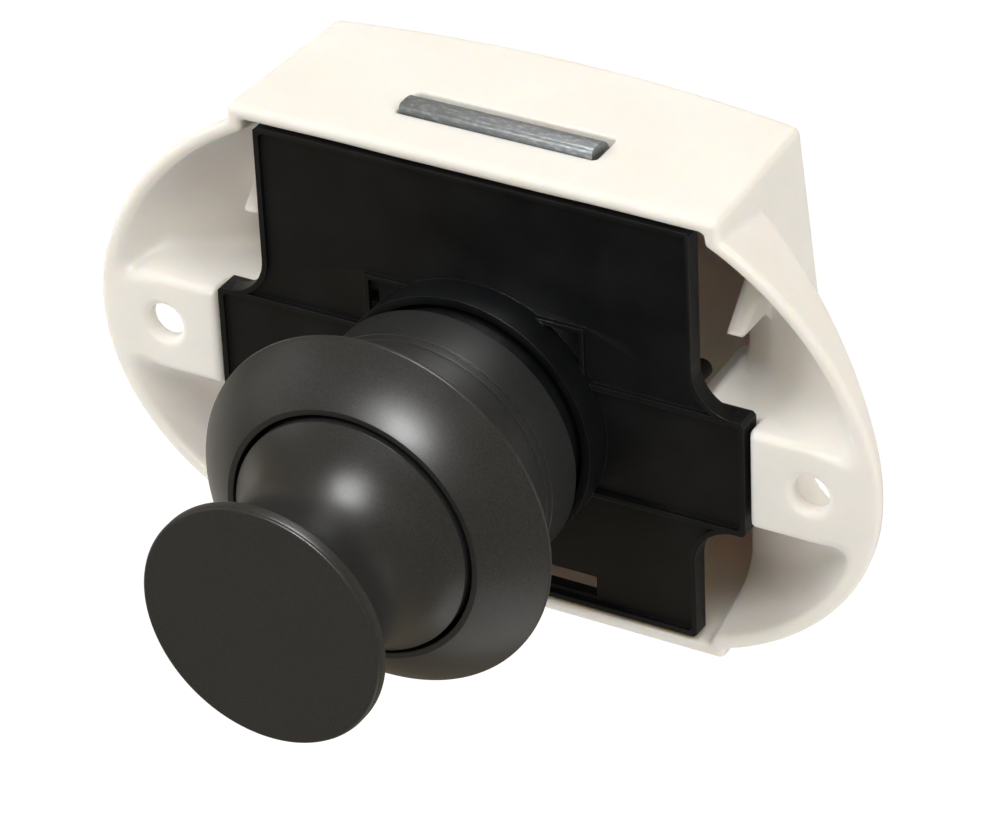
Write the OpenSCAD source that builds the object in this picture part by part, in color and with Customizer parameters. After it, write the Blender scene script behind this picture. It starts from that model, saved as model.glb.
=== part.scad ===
// Push-button lock for a cabinet or caravan door.
// The knob slides along Y and points to -Y, the bolt leaves the case along +Z.
// The case bears on the inner face of the door, which is the plane y = 0.
// Drawn with the knob out and the bolt drawn in.

/* [Door] */
// Thickness of the door between case and rosette
door_t = 17.4; // [15:0.1:20]
// Diameter of the hole through the door
door_hole_d = 26; // [25.8:0.1:27]

/* [Case] */
// Outer width of the case box at its front
case_w = 48.2; // [47.4:0.2:50]
// Height of the case top above the knob axis
case_top = 25; // [24.6:0.1:28]
// Depth of the case below the knob axis
case_drop = 19.7; // [19.4:0.1:23]
// Depth of the case top at its back corners
case_corner_depth = 17.5; // [17:0.1:18.5]
// Depth of the case top at its middle
case_mid_depth = 19.85; // [19.5:0.05:21]
// How much deeper the case gets for each millimetre below its top or above its bottom
back_lean = 0.2; // [0.15:0.01:0.22]
// Inward lean of the case's sides for each millimetre of depth
side_lean = 0.05; // [0.02:0.01:0.06]
// Wall thickness of the case and the ears
wall = 1.35; // [1.1:0.05:1.6]
// Rounding of the front edges of the case and the ears
rim_round = 0.45; // [0.3:0.05:0.5]
// Bevel of the case's upper edges at its sides
edge_bevel = 0.6; // [0.3:0.1:0.8]

/* [Ears] */
// Distance from the knob axis to the tip of an ear
ear_reach = 39.3; // [38:0.1:42]
// Height of the ear's tip above the knob axis
ear_mid_z = 0.9; // [0:0.1:2]
// Radius of the outline round the ear's tip
ear_tip_r = 18.9; // [17.5:0.1:20]
// Radius of the outline above the tip
ear_upper_r = 29.5; // [27:0.5:32]
// Radius of the outline below the tip
ear_lower_r = 23.5; // [22.5:0.1:25]
// Depth of an ear where it leaves the case
ear_root_depth = 9.5; // [9:0.1:11]
// Depth of an ear at its tip
ear_tip_depth = 1.7; // [1.6:0.1:3]
// Inward lean of the ear's outer wall for each millimetre of depth
ear_draft = 0.2; // [0.1:0.01:0.25]
// Distance between the two screw holes
screw_spacing = 64.9; // [62:0.1:67]
// Height of the screw holes above the knob axis
screw_z = 0.2; // [-0.5:0.1:0.5]
// Diameter of a screw hole
screw_d = 3.5; // [3:0.1:4]
// Thickness of the case under a screw head
screw_seat_t = 1.9; // [1.6:0.1:3]
// Diameter of the recess for a screw head
screw_head_d = 7.4; // [6:0.1:7.6]
// Half height of the screw pad at its inner end
pad_half_h = 5; // [4.8:0.1:5.4]
// Half height of the screw pad beside its hole
pad_mid_half_h = 4.8; // [4.4:0.1:5]
// Half height of the screw pad at the ear's tip
pad_tip_half_h = 2.9; // [2.6:0.1:3.6]

/* [Front plate] */
// Half width of the middle band
band_half_w = 26.34; // [25:0.05:26.5]
// Upper edge of the middle band
band_top = 5.7; // [5.4:0.1:6.5]
// Lower edge of the middle band
band_bottom = -6; // [-7:0.1:-5.5]
// Thickness of the plate at its middle band
plate_t = 2.4; // [2:0.1:2.8]
// Depth of the panels behind the rim
panel_recess = 0.5; // [0.3:0.05:0.7]
// Thickness of the panels
panel_t = 1.2; // [1:0.1:1.4]
// Width of the rim and of the ribs
rim_w = 0.5; // [0.4:0.05:0.8]
// Radius in the corners between arms and band
plate_fillet = 4; // [3:0.1:4.5]
// Bevel of the plate's outer corners
plate_bevel = 0.3; // [0.2:0.1:0.8]
// How far the collar stands out into the door
collar_h = 2.75; // [2:0.05:4]

/* [Rosette] */
// Radius of the rosette
rosette_r = 17; // [16.5:0.1:19]
// Height of the rosette's straight edge
rosette_edge = 0.4; // [0.3:0.1:1]
// Height of the rosette's lip above the door
rosette_h = 4.5; // [4.2:0.05:4.8]
// Radius of the arch from the rosette's edge to its lip
rosette_arch_r = 16; // [12:1:30]
// Width of the flat lip round the knob
lip_w = 0.55; // [0.3:0.05:1]
// Gap between the rosette's sleeve and the door's inner face
sleeve_end = 5.2; // [4:0.1:6]

/* [Knob] */
// Radius of the knob's head
knob_r = 11.45; // [11:0.01:11.6]
// Length of the knob from its base to its face
knob_len = 16.9; // [15:0.1:19]
// Thickness of the head's edge
knob_edge = 1.1; // [0.8:0.1:1.5]
// Length of the straight base
knob_base = 2; // [1.6:0.1:2.4]
// Radius of the knob's neck at its narrowest
neck_r = 8.6; // [8:0.1:9.5]
// Distance from the door's outer face to the knob's base
knob_stand = 2.6; // [2.4:0.1:3.6]

/* [Mechanism] */
// Travel of the knob
travel = 12; // [11:0.1:12]
// Travel of the bolt
bolt_throw = 7.2; // [6:0.1:7.6]
// Radius of the plunger
plunger_r = 10.25; // [10:0.05:10.3]
// Reach of the plunger behind the door's inner face
plunger_rear = 5; // [4.9:0.05:5.1]
// Bore of the plunger
plunger_bore_r = 6; // [5.9:0.05:6.2]
// Half width of the bolt
bolt_half_w = 9.5; // [8:0.1:9.8]
// Thickness of the bolt
bolt_t = 3.2; // [2.8:0.1:3.4]
// Distance from the door's inner face to the front of the bolt
bolt_front = 5.3; // [5.3:0.1:6]
// How far the drawn-in bolt stands above the case
bolt_proud = 0.78; // [0.4:0.02:1.2]
// Radius of the bolt's drive pins
drive_pin_r = 1.1; // [0.9:0.05:1.2]
// Radius of the follower's wire
wire_r = 0.5; // [0.4:0.05:0.55]
// Radius of the return spring's wire
spring_wire_r = 0.45; // [0.35:0.05:0.5]
// Number of turns of the return spring
spring_turns = 11; // [8:1:14]

/* [Fits] */
// Radial play of the plunger in the guide tube and of the sleeve on it
slide_play = 0.25; // [0.15:0.05:0.3]
// Radial play of the knob's base in the sleeve
knob_play = 0.39; // [0.3:0.01:0.5]
// Play of the collar and the sleeve in the door's hole
door_play = 0.25; // [0.2:0.05:0.4]
// Play round the bolt in its slot
bolt_play = 0.3; // [0.2:0.05:0.4]
// Play behind the bolt in its slot
bolt_back_play = 0.8; // [0.4:0.1:1]
// Gap between the plate and the case above, below and at the screw pads
plate_gap = 0.3; // [0.25:0.05:0.5]
// Gap between the plate and the side walls of the case
plate_side_gap = 1.35; // [1.1:0.05:1.7]
// Gap between moving pieces that pass each other
pass_gap = 0.35; // [0.3:0.05:0.4]
// Radial play of the follower's pivot
pivot_play = 0.05; // [0.03:0.01:0.08]

/* [Hidden] */
$fn = 96;
// Overlap that lets a cut run past the face it opens
over = 1;
// Reach of cutting shapes that only one face matters of
far = 60;

// Case
half_w = case_w / 2;
bulge = case_mid_depth - case_corner_depth;
back_r = (half_w * half_w + bulge * bulge) / (2 * bulge);
back_y = case_mid_depth - back_r;
case_mid_z = (case_top - case_drop) / 2;
deep_half_h = 3.5;
swell = back_lean * (case_top - case_mid_z - deep_half_h);
side_angle = atan(side_lean);
inner_top = case_top - wall;
inner_drop = case_drop - wall;
inner_half_w = half_w - wall;

// Ears: three arcs that meet without a corner, each leaning inwards with depth
upper_from = 20;
lower_from = 36;
tip_x = ear_reach - ear_tip_r;
upper_x = tip_x + (ear_tip_r - ear_upper_r) * cos(upper_from);
upper_z = ear_mid_z + (ear_tip_r - ear_upper_r) * sin(upper_from);
lower_x = tip_x + (ear_tip_r - ear_lower_r) * cos(lower_from);
lower_z = ear_mid_z - (ear_tip_r - ear_lower_r) * sin(lower_from);
slope = atan((ear_root_depth - ear_tip_depth) / (ear_reach - half_w));
lean = sqrt(1 + ear_draft * ear_draft);
screw_x = screw_spacing / 2;
mouth_round = 0.75;
block_in = 4.1;
block_x = half_w - block_in;
pad_x = band_half_w + plate_gap;
lug_front = 2.5;
lug_in = 1;
lug_out = 0.75;
lug_z = 12.3;
lug_h = 5;
lug_side_h = 2.6;

// Front plate
plate_half_w = inner_half_w - plate_side_gap;
plate_top = inner_top - plate_gap;
plate_bottom = -inner_drop + plate_gap;
panel_back = panel_recess + panel_t;
skirt_w = 2 * rim_w;
collar_r = door_hole_d / 2 - door_play;
collar_wall = 0.8;
tube_bore_r = plunger_r + slide_play;
tube_wall = 0.95;
tube_r = tube_bore_r + tube_wall;
press_gap = 0.3;
tube_h = door_t + knob_stand - travel - press_gap;
bracket_in = 2.05;
bracket_half_w = collar_r - bracket_in;
bracket_drop = 1.65;
bracket_top = collar_r - bracket_drop;
corner_hole = [0.75, 1.4];
corner_hole_drop = 3;
slot_half_w = 11.2;
slot_edge = 1.05;
slot_h = 2.1;
post_r = 0.9;
post_in = 0.1;
post_off = 1.2;
post_len = 3.4;

// Rosette
flange_back = -door_t;
sleeve_r = door_hole_d / 2 - door_play;
sleeve_bore_r = tube_r + slide_play;
edge_y = flange_back - rosette_edge;
lip_x = sleeve_bore_r + lip_w;
arch_dx = rosette_r - lip_x;
arch_dy = rosette_h - rosette_edge;
arch_chord = sqrt(arch_dx * arch_dx + arch_dy * arch_dy);
arch_out = sqrt(rosette_arch_r * rosette_arch_r - arch_chord * arch_chord / 4) / arch_chord;
arch_x = lip_x + arch_dx / 2 - arch_out * arch_dy;
arch_y = edge_y - arch_dy / 2 + arch_out * arch_dx;
ring_groove = 0.2;
ring_from_flange = [6.7, 7.7];

// Knob and plunger
knob_back = flange_back - knob_stand;
knob_face = knob_back - knob_len;
base_r = sleeve_bore_r - knob_play;
base_top = knob_back - knob_base;
neck_span = knob_len - knob_base - knob_edge;
neck_sag = knob_r - neck_r;
neck_arc_r = (neck_span * neck_span / 4 + neck_sag * neck_sag) / (2 * neck_sag);
neck_y = base_top - neck_span / 2;
floor_t = 3;
plunger_floor = knob_back + floor_t;
spigot_r = 3;
spigot_len = 4;
spigot_play = 0.125;
screw_shank_r = 1.5;
screw_head_r = 2.8;
screw_head_h = 2;
screw_len = 9;
screw_tip_room = 0.5;
cross_len = 3.2;
cross_w = 0.7;
cross_depth = 1.1;

// Stop tabs, which bear on the back of the plate
tab_gap = 0.15;
tab_front = panel_back + tab_gap;
tab_t = 2;
tab_half_w = 1.5;

// Bolt: a blade, a yoke over the plunger and two legs with drive pins
bolt_top = case_top + bolt_proud;
bolt_back = bolt_front + bolt_t;
yoke_gap = 0.65;
yoke_bottom = plunger_r + yoke_gap;
yoke_h = 3.6;
leg_gap = 0.45;
leg_in = plunger_r + leg_gap;
leg_w = 2.5;
leg_t = 2.3;
leg_end = 0.8;
leg_front = panel_back + pass_gap;
leg_room = leg_in + leg_w + pass_gap;
drive_depth = 2.25;
drive_in = plunger_r - drive_depth;
drive_y = leg_front + leg_t / 2;
drive_z = -bolt_throw / 2;
leg_bottom = drive_z - drive_pin_r - leg_end;
nose_front_r = 0.45;
nose_back_r = 1.9;
groove_play = 0.2;
groove_r = drive_pin_r + groove_play;
groove_in = drive_in - pass_gap;
groove_angle = atan(bolt_throw / travel);
groove_len = sqrt(travel * travel + bolt_throw * bolt_throw);

// Heart track under the plunger and the wire follower in it
flat_cut = 1.25;
flat_lead = 1;
flat_z = flat_cut - plunger_r;
track_depth = 1.4;
track_x = 2.2;
track_play = 0.25;
track_rear_wall = 0.9;
track_rear_room = 0.4;
track_front_room = 0.7;
track_y = plunger_rear - track_rear_wall - track_rear_room - wire_r;
track_half_w = track_x + wire_r + track_play;
track_back = track_y + wire_r + track_rear_room;
track_front = track_y - travel - wire_r - track_front_room;
island_half_w = track_x - wire_r - track_play;
island_lead = 1.2;
island_rest = 0.7;
island_back = track_y - wire_r - island_lead;
island_front = track_y - travel + wire_r + island_rest;
notch_depth = 0.9;
notch_rim = 0.5;
notch_bevel = 0.6;
seat_y = 18;
pivot_in = 2.8;
pivot_y = seat_y - pivot_in;
arm_gap = 0.7;
arm_z = flat_z - wire_r - arm_gap;
tip_gap = 0.5;
tip_z = flat_z + track_depth - tip_gap;
bend_r = 0.9;
boss_gap = 0.05;
boss_top = arm_z - bend_r - boss_gap;
boss_h = 3.6;
boss_half_w = 2.5;
boss_lead = 2;

// Return spring between the plunger's floor and a seat on the back of the case
seat_gap = 0.05;
spring_r = plunger_bore_r - spring_wire_r - slide_play;
seat_rim = 0.6;
seat_r = spring_r + spring_wire_r + seat_rim;
spring_front = plunger_floor + seat_gap;
spring_back = seat_y - seat_gap;
peg_r = spring_r - spring_wire_r - pass_gap;
peg_len = 3;

// A flat shape in X and Z, carried from depth y0 to depth y1
module slab(y0, y1)
  translate([0, y1, 0])
    rotate([90, 0, 0])
      linear_extrude(height = y1 - y0)
        children();

// A profile of radius and depth, turned about the knob's direction
module turned()
  rotate([-90, 0, 0])
    rotate_extrude()
      children();

// A round bar along the knob's direction
module bar_y(r, x, z, y0, y1)
  translate([x, y0, z])
    rotate([-90, 0, 0])
      cylinder(r = r, h = y1 - y0);

module both_sides() {
  children();
  mirror([1, 0, 0]) children();
}

// A rectangle with round corners
module round_rect(low, high, r) {
  translate([low[0] + r, low[1]]) square([high[0] - low[0] - 2 * r, high[1] - low[1]]);
  translate([low[0], low[1] + r]) square([high[0] - low[0], high[1] - low[1] - 2 * r]);
  for (x = [low[0] + r, high[0] - r], y = [low[1] + r, high[1] - r])
    translate([x, y]) circle(r = r);
}

// Plan of the case with its leaning sides, a wall smaller for the hollow
module case_plan(inset) {
  lost = side_lean * far;
  polygon([
    [inset - half_w, 0], [half_w - inset, 0],
    [half_w - inset - lost, far], [inset + lost - half_w, far]
  ]);
}

// Everything before the bulged back, which is deepest at half the case's height
module case_back(inset)
  translate([0, back_y, 0])
    rotate_extrude($fn = 200)
      polygon([
        [0, -case_drop], [back_r - inset, -case_drop],
        [back_r + swell - inset, case_mid_z - deep_half_h],
        [back_r + swell - inset, case_mid_z + deep_half_h],
        [back_r - inset, case_top], [0, case_top]
      ]);

// The corner that the bevel takes off the case's upper edge at one side
module edge_corner()
  translate([half_w, 0, 0])
    rotate([0, 0, side_angle])
      slab(-over, far)
        polygon([
          [-edge_bevel - over, case_top + over], [over, case_top - edge_bevel - over],
          [over, case_top + over]
        ]);

// The case box: its plan, its back and its side view with a rounded front
module case_form()
  difference() {
    intersection() {
      translate([0, 0, -case_drop])
        linear_extrude(height = case_drop + case_top)
          case_plan(0);
      case_back(0);
      translate([-half_w - over, 0, 0])
        rotate([90, 0, 90])
          linear_extrude(height = case_w + 2 * over)
            round_rect([0, -case_drop], [far, case_top], rim_round);
    }
    both_sides() edge_corner();
  }

// The corner that rounding takes off the front edge of a leaning wall of radius r
module rim_corner(r) {
  x = r - rim_round * (lean + ear_draft);
  y = rim_round * (1 + ear_draft / lean);
  difference() {
    polygon([[x, -over], [r + over, -over], [r + over, y], [x + rim_round / lean, y], [x, rim_round]]);
    translate([x, rim_round]) circle(r = rim_round);
  }
}

// One arc of an ear's outline as a leaning wall, round at its outer front edge
module ear_cone(x, z, arc_r, hollow) {
  r = hollow ? arc_r - wall : arc_r;
  translate([x, 0, z])
    turned()
      difference() {
        polygon([[0, 0], [r, 0], [r - ear_draft * ear_root_depth, ear_root_depth], [0, ear_root_depth]]);
        if (!hollow) rim_corner(r);
      }
}

// The sector between the two points where the arcs of the outline meet
module tip_sector()
  slab(-2 * over, ear_root_depth + over)
    polygon([
      [tip_x, ear_mid_z],
      [tip_x + far * cos(lower_from), ear_mid_z - far * sin(lower_from)],
      [tip_x + far, ear_mid_z],
      [tip_x + far * cos(upper_from), ear_mid_z + far * sin(upper_from)]
    ]);

// Everything in front of the ear's sloping back, moved forward by the inset
module before_slope(inset)
  translate([half_w, ear_root_depth - inset / cos(slope), 0])
    rotate([0, 0, -slope])
      translate([-far / 2, -far, -far / 2])
        cube([2 * far, far, far]);

// One ear or its hollow, from a plane in the case's side wall to its tip
module ear_form(from_x, hollow)
  intersection() {
    union() {
      intersection() {
        ear_cone(tip_x, ear_mid_z, ear_tip_r, hollow);
        tip_sector();
      }
      difference() {
        intersection() {
          ear_cone(upper_x, upper_z, ear_upper_r, hollow);
          ear_cone(lower_x, lower_z, ear_lower_r, hollow);
        }
        tip_sector();
      }
    }
    before_slope(hollow ? wall : 0);
    translate([from_x, -2 * over, -far / 2])
      cube([far, far, far]);
  }

// The pad round a screw hole and the block behind it that carries the plate's band
module screw_block() {
  intersection() {
    slab(0, ear_root_depth)
      polygon([
        [pad_x, -pad_half_h],
        [screw_x, -pad_mid_half_h],
        [ear_reach - wall, -pad_tip_half_h],
        [ear_reach - wall, pad_tip_half_h],
        [screw_x, pad_mid_half_h],
        [pad_x, pad_half_h]
      ]);
    ear_form(inner_half_w, false);
  }
  intersection() {
    slab(plate_t, ear_root_depth)
      translate([block_x, -pad_half_h])
        square([pad_x + over - block_x, 2 * pad_half_h]);
    before_slope(0);
  }
}

// Lug at the ear's root, under its upper wall, with a ramp for its front
module ear_lug()
  intersection() {
    translate([half_w - lug_in, 0, 0])
      rotate([90, 0, 90])
        linear_extrude(height = lug_in + lug_out)
          polygon([
            [lug_front, lug_z], [ear_root_depth, lug_z], [ear_root_depth, lug_z + lug_h],
            [lug_front + lug_h, lug_z + lug_h]
          ]);
    slab(lug_front, ear_root_depth)
      polygon([
        [half_w - lug_in, lug_z], [half_w + lug_out, lug_z], [half_w + lug_out, lug_z + lug_side_h],
        [half_w - lug_in / 2, lug_z + lug_h], [half_w - lug_in, lug_z + lug_h]
      ]);
    before_slope(0);
  }

// Screw hole with a rounded mouth, and the recess for the head, open towards the ear's tip
module screw_cut() {
  bar_y(screw_d / 2, screw_x, screw_z, -over, ear_root_depth);
  translate([screw_x, 0, screw_z])
    turned()
      translate([screw_d / 2 - over, 0])
        difference() {
          translate([0, -over]) square([over + mouth_round, over + mouth_round]);
          translate([over + mouth_round, mouth_round]) circle(r = mouth_round);
        }
  bar_y(screw_head_d / 2, screw_x, screw_z, screw_seat_t, far);
  translate([screw_x, screw_seat_t, screw_z - screw_head_d / 2])
    cube([far, far, screw_head_d]);
}

// Pivot boss of the follower and seat of the spring, both rising from the back wall
module back_mounts()
  difference() {
    intersection() {
      union() {
        translate([-boss_half_w, pivot_y - boss_lead, boss_top - boss_h])
          cube([2 * boss_half_w, far, boss_h]);
        bar_y(seat_r, 0, 0, seat_y, far);
        bar_y(peg_r, 0, 0, seat_y - peg_len, seat_y + over);
      }
      case_back(wall / 2);
    }
    translate([0, pivot_y, boss_top - boss_h - over])
      cylinder(r = wire_r + pivot_play, h = boss_h + 2 * over);
  }

module housing() {
  color("ivory")
    difference() {
      union() {
        difference() {
          union() {
            case_form();
            both_sides() ear_form(half_w - wall / 2, false);
          }
          intersection() {
            translate([0, 0, -inner_drop])
              linear_extrude(height = inner_drop + inner_top)
                union() {
                  case_plan(wall);
                  translate([-inner_half_w, -over]) square([2 * inner_half_w, over]);
                }
            case_back(wall);
          }
          both_sides() ear_form(inner_half_w - over, true);
        }
        both_sides() {
          screw_block();
          ear_lug();
        }
        back_mounts();
      }
      both_sides() screw_cut();
      translate([-bolt_half_w - bolt_play, bolt_front - bolt_play / 2, inner_top - over])
        cube([2 * (bolt_half_w + bolt_play), bolt_t + bolt_play / 2 + bolt_back_play, wall + 2 * over]);
    }
}

// A rectangle with bevelled corners
module bevelled(half, low, high, bevel)
  polygon([
    [-half + bevel, low], [half - bevel, low], [half, low + bevel], [half, high - bevel],
    [half - bevel, high], [-half + bevel, high], [-half, high - bevel], [-half, low + bevel]
  ]);

// Cross outline of the plate, drawn smaller by the inset, with hollow corners of one centre
module plate_outline(inset) {
  r = plate_fillet + inset;
  bevelled(plate_half_w - inset, plate_bottom + inset, plate_top - inset, plate_bevel);
  bevelled(band_half_w - inset, band_bottom + inset, band_top - inset, plate_bevel);
  for (side = [-1, 1], edge = [[band_top, 1], [band_bottom, -1]])
    translate([side * (plate_half_w - inset), edge[0] - edge[1] * inset])
      difference() {
        translate([side > 0 ? 0 : -r, edge[1] > 0 ? 0 : -r]) square([r, r]);
        translate([side * r, edge[1] * r]) circle(r = r);
      }
}

// Thin ribs on the panels: along the band and as brackets over the collar
module plate_ribs() {
  for (z = [band_top - rim_w, band_bottom])
    translate([-band_half_w, z]) square([2 * band_half_w, rim_w]);
  for (side = [-1, 1])
    translate([side * bracket_half_w - rim_w / 2, band_top - rim_w])
      square([rim_w, bracket_top - band_top + rim_w]);
  translate([-bracket_half_w - rim_w / 2, bracket_top - rim_w])
    square([2 * bracket_half_w + rim_w, rim_w]);
}

module front_plate() {
  color([0.05, 0.05, 0.055])
    difference() {
      union() {
        difference() {
          slab(0, panel_back) plate_outline(0);
          slab(-over, panel_recess)
            difference() {
              plate_outline(rim_w);
              plate_ribs();
            }
        }
        difference() {
          slab(panel_recess, plate_t) bevelled(band_half_w, band_bottom, band_top, plate_bevel);
          slab(panel_back, plate_t + over) {
            bevelled(band_half_w - skirt_w, band_bottom + skirt_w, band_top - skirt_w, plate_bevel);
            translate([-leg_room, band_bottom - over])
              square([2 * leg_room, band_top - band_bottom + 2 * over]);
          }
        }
        bar_y(collar_r, 0, 0, -collar_h, panel_back);
        bar_y(tube_r, 0, 0, -tube_h, panel_back);
        for (side = [-1, 1], z = [band_top + post_off, band_bottom - post_off])
          bar_y(post_r, side * (block_x - post_in), z, panel_back - over, panel_back + post_len);
      }
      bar_y(tube_bore_r, 0, 0, -tube_h - over, plate_t + over);
      turned()
        translate([tube_r, -collar_h - over])
          square([collar_r - collar_wall - tube_r, collar_h + over + panel_recess]);
      slab(-over, plate_t + over) {
        translate([-slot_half_w, plate_bottom + slot_edge]) square([2 * slot_half_w, slot_h]);
        translate([-bracket_half_w + rim_w / 2, bracket_top - corner_hole_drop]) square(corner_hole);
      }
    }
}

module rosette() {
  color([0.26, 0.25, 0.23])
    turned()
      difference() {
        union() {
          translate([sleeve_bore_r, flange_back - over])
            square([sleeve_r - sleeve_bore_r, over - flange_back - sleeve_end]);
          intersection() {
            translate([sleeve_bore_r, flange_back - rosette_h])
              square([rosette_r - sleeve_bore_r, rosette_h]);
            translate([arch_x, arch_y]) circle(r = rosette_arch_r, $fn = 200);
          }
        }
        for (y = ring_from_flange)
          translate([sleeve_r - ring_groove / 2, flange_back + y]) square([ring_groove, ring_groove]);
      }
}

module knob() {
  color([0.28, 0.27, 0.25])
    difference() {
      turned()
        difference() {
          union() {
            translate([0, knob_face]) square([knob_r, knob_len - knob_base]);
            translate([0, base_top]) square([base_r, knob_base]);
          }
          translate([neck_r + neck_arc_r, neck_y]) circle(r = neck_arc_r);
        }
      bar_y(spigot_r + spigot_play, 0, 0, knob_back - spigot_len, knob_back + over);
      bar_y(screw_shank_r, 0, 0, plunger_floor - screw_len - screw_tip_room, knob_back);
    }
}

// Diagonal groove in the plunger's side for a drive pin
module drive_groove()
  translate([groove_in, drive_y, drive_z])
    rotate([-groove_angle, 0, 0])
      rotate([0, 90, 0])
        linear_extrude(height = plunger_r)
          union() {
            circle(r = groove_r);
            translate([0, -groove_len]) circle(r = groove_r);
            translate([-groove_r, -groove_len]) square([2 * groove_r, groove_len]);
          }

// Heart-shaped island that the follower runs round, with the notch that holds the knob in
module heart_island()
  polygon([
    [-island_half_w, island_back - island_half_w], [0, island_back],
    [island_half_w, island_back - island_half_w], [island_half_w, island_front + notch_bevel],
    [island_half_w - notch_rim, island_front], [0, island_front + notch_depth],
    [notch_rim - island_half_w, island_front], [-island_half_w, island_front + notch_bevel]
  ]);

module plunger() {
  color([0.07, 0.07, 0.075])
    difference() {
      union() {
        bar_y(plunger_r, 0, 0, knob_back, plunger_rear);
        bar_y(spigot_r, 0, 0, knob_back - spigot_len + 2 * spigot_play, knob_back);
        for (angle = [45, 135, 225, 315])
          rotate([0, angle, 0])
            translate([0, tab_front, -tab_half_w])
              cube([tube_r, tab_t, 2 * tab_half_w]);
      }
      bar_y(plunger_bore_r, 0, 0, plunger_floor, plunger_rear + over);
      bar_y(screw_shank_r + slide_play, 0, 0, knob_back - spigot_len, plunger_floor + over);
      translate([-plunger_r, track_front - flat_lead, flat_z - plunger_r])
        cube([2 * plunger_r, plunger_rear - track_front + flat_lead + over, plunger_r]);
      translate([0, 0, flat_z - over])
        linear_extrude(height = track_depth + over)
          difference() {
            translate([-track_half_w, track_front])
              square([2 * track_half_w, track_back - track_front]);
            heart_island();
          }
      both_sides() drive_groove();
    }
}

module knob_screw() {
  head_top = plunger_floor + screw_head_h;
  color("silver")
    union() {
      difference() {
        bar_y(screw_head_r, 0, 0, plunger_floor, head_top);
        for (angle = [0, 90])
          rotate([0, angle, 0])
            translate([-cross_len / 2, head_top - cross_depth, -cross_w / 2])
              cube([cross_len, cross_depth + over, cross_w]);
      }
      bar_y(screw_shank_r, 0, 0, plunger_floor - screw_len, plunger_floor);
    }
}

// Centre of the spring's wire at a share of its length, and a ring of points round it
function spring_at(s) = [
  spring_r * cos(360 * spring_turns * s),
  spring_front + spring_wire_r + s * (spring_back - spring_front - 2 * spring_wire_r),
  spring_r * sin(360 * spring_turns * s)
];
function spring_ring(s) = [
  for (k = [0 : 7])
    let (a = 360 * spring_turns * s, b = 45 * k, p = spring_at(s))
      [p[0] + spring_wire_r * cos(b) * cos(a), p[1] + spring_wire_r * sin(b),
       p[2] + spring_wire_r * cos(b) * sin(a)]
];

module return_spring() {
  rings = spring_turns * 14;
  color("lightsteelblue")
    polyhedron(
      points = [for (i = [0 : rings]) each spring_ring(i / rings)],
      faces = concat(
        [[for (k = [0 : 7]) k]],
        [for (i = [0 : rings - 1], k = [0 : 7])
          [8 * i + k, 8 * i + 8 + k, 8 * i + 8 + (k + 1) % 8, 8 * i + (k + 1) % 8]],
        [[for (k = [7 : -1 : 0]) 8 * rings + k]]
      )
    );
}

// Side profile of the blade: upright front, rounded nose
module blade_profile()
  difference() {
    translate([bolt_front, yoke_bottom]) square([bolt_t, bolt_top - yoke_bottom]);
    difference() {
      translate([bolt_front - over, bolt_top - nose_front_r])
        square([nose_front_r + over, nose_front_r + over]);
      translate([bolt_front + nose_front_r, bolt_top - nose_front_r]) circle(r = nose_front_r);
    }
    difference() {
      translate([bolt_back - nose_back_r, bolt_top - nose_back_r])
        square([nose_back_r + over, nose_back_r + over]);
      translate([bolt_back - nose_back_r, bolt_top - nose_back_r]) circle(r = nose_back_r);
    }
  }

module bolt() {
  color([0.6, 0.61, 0.62])
    union() {
      translate([-bolt_half_w, 0, 0])
        rotate([90, 0, 90])
          linear_extrude(height = 2 * bolt_half_w)
            blade_profile();
      translate([-leg_in - leg_w, leg_front, yoke_bottom])
        cube([2 * (leg_in + leg_w), bolt_back - leg_front, yoke_h]);
      both_sides() {
        translate([leg_in, leg_front, leg_bottom])
          cube([leg_w, leg_t, yoke_bottom + yoke_h - leg_bottom]);
        translate([drive_in, drive_y, drive_z])
          rotate([0, 90, 0])
            cylinder(r = drive_pin_r, h = leg_in - drive_in + leg_w / 2);
      }
    }
}

// A quarter turn of bent wire
module wire_bend()
  rotate([90, 0, 90])
    rotate_extrude(angle = 90)
      translate([bend_r, 0]) circle(r = wire_r);

module cam_follower() {
  reach = pivot_y - track_y;
  arm = sqrt(reach * reach + track_x * track_x);
  turn = atan(track_x / reach);
  leg_z = boss_top - boss_h;
  color("gainsboro")
    translate([0, pivot_y, 0])
      rotate([0, 0, -turn])
        union() {
          translate([0, 0, leg_z]) cylinder(r = wire_r, h = arm_z - bend_r - leg_z);
          translate([0, -bend_r, arm_z - bend_r]) wire_bend();
          translate([0, -bend_r, arm_z])
            rotate([90, 0, 0])
              cylinder(r = wire_r, h = arm - 2 * bend_r);
          translate([0, bend_r - arm, arm_z + bend_r])
            rotate([180, 0, 0])
              wire_bend();
          translate([0, -arm, arm_z + bend_r]) cylinder(r = wire_r, h = tip_z - arm_z - bend_r);
        }
}

housing();
front_plate();
rosette();
knob();
plunger();
knob_screw();
return_spring();
bolt();
cam_follower();
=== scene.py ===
"""Looks of a push-button lock for a cabinet door, in metres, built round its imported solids."""

import math

import bmesh
import bpy
import numpy as np
from mathutils import Matrix, Vector


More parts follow.
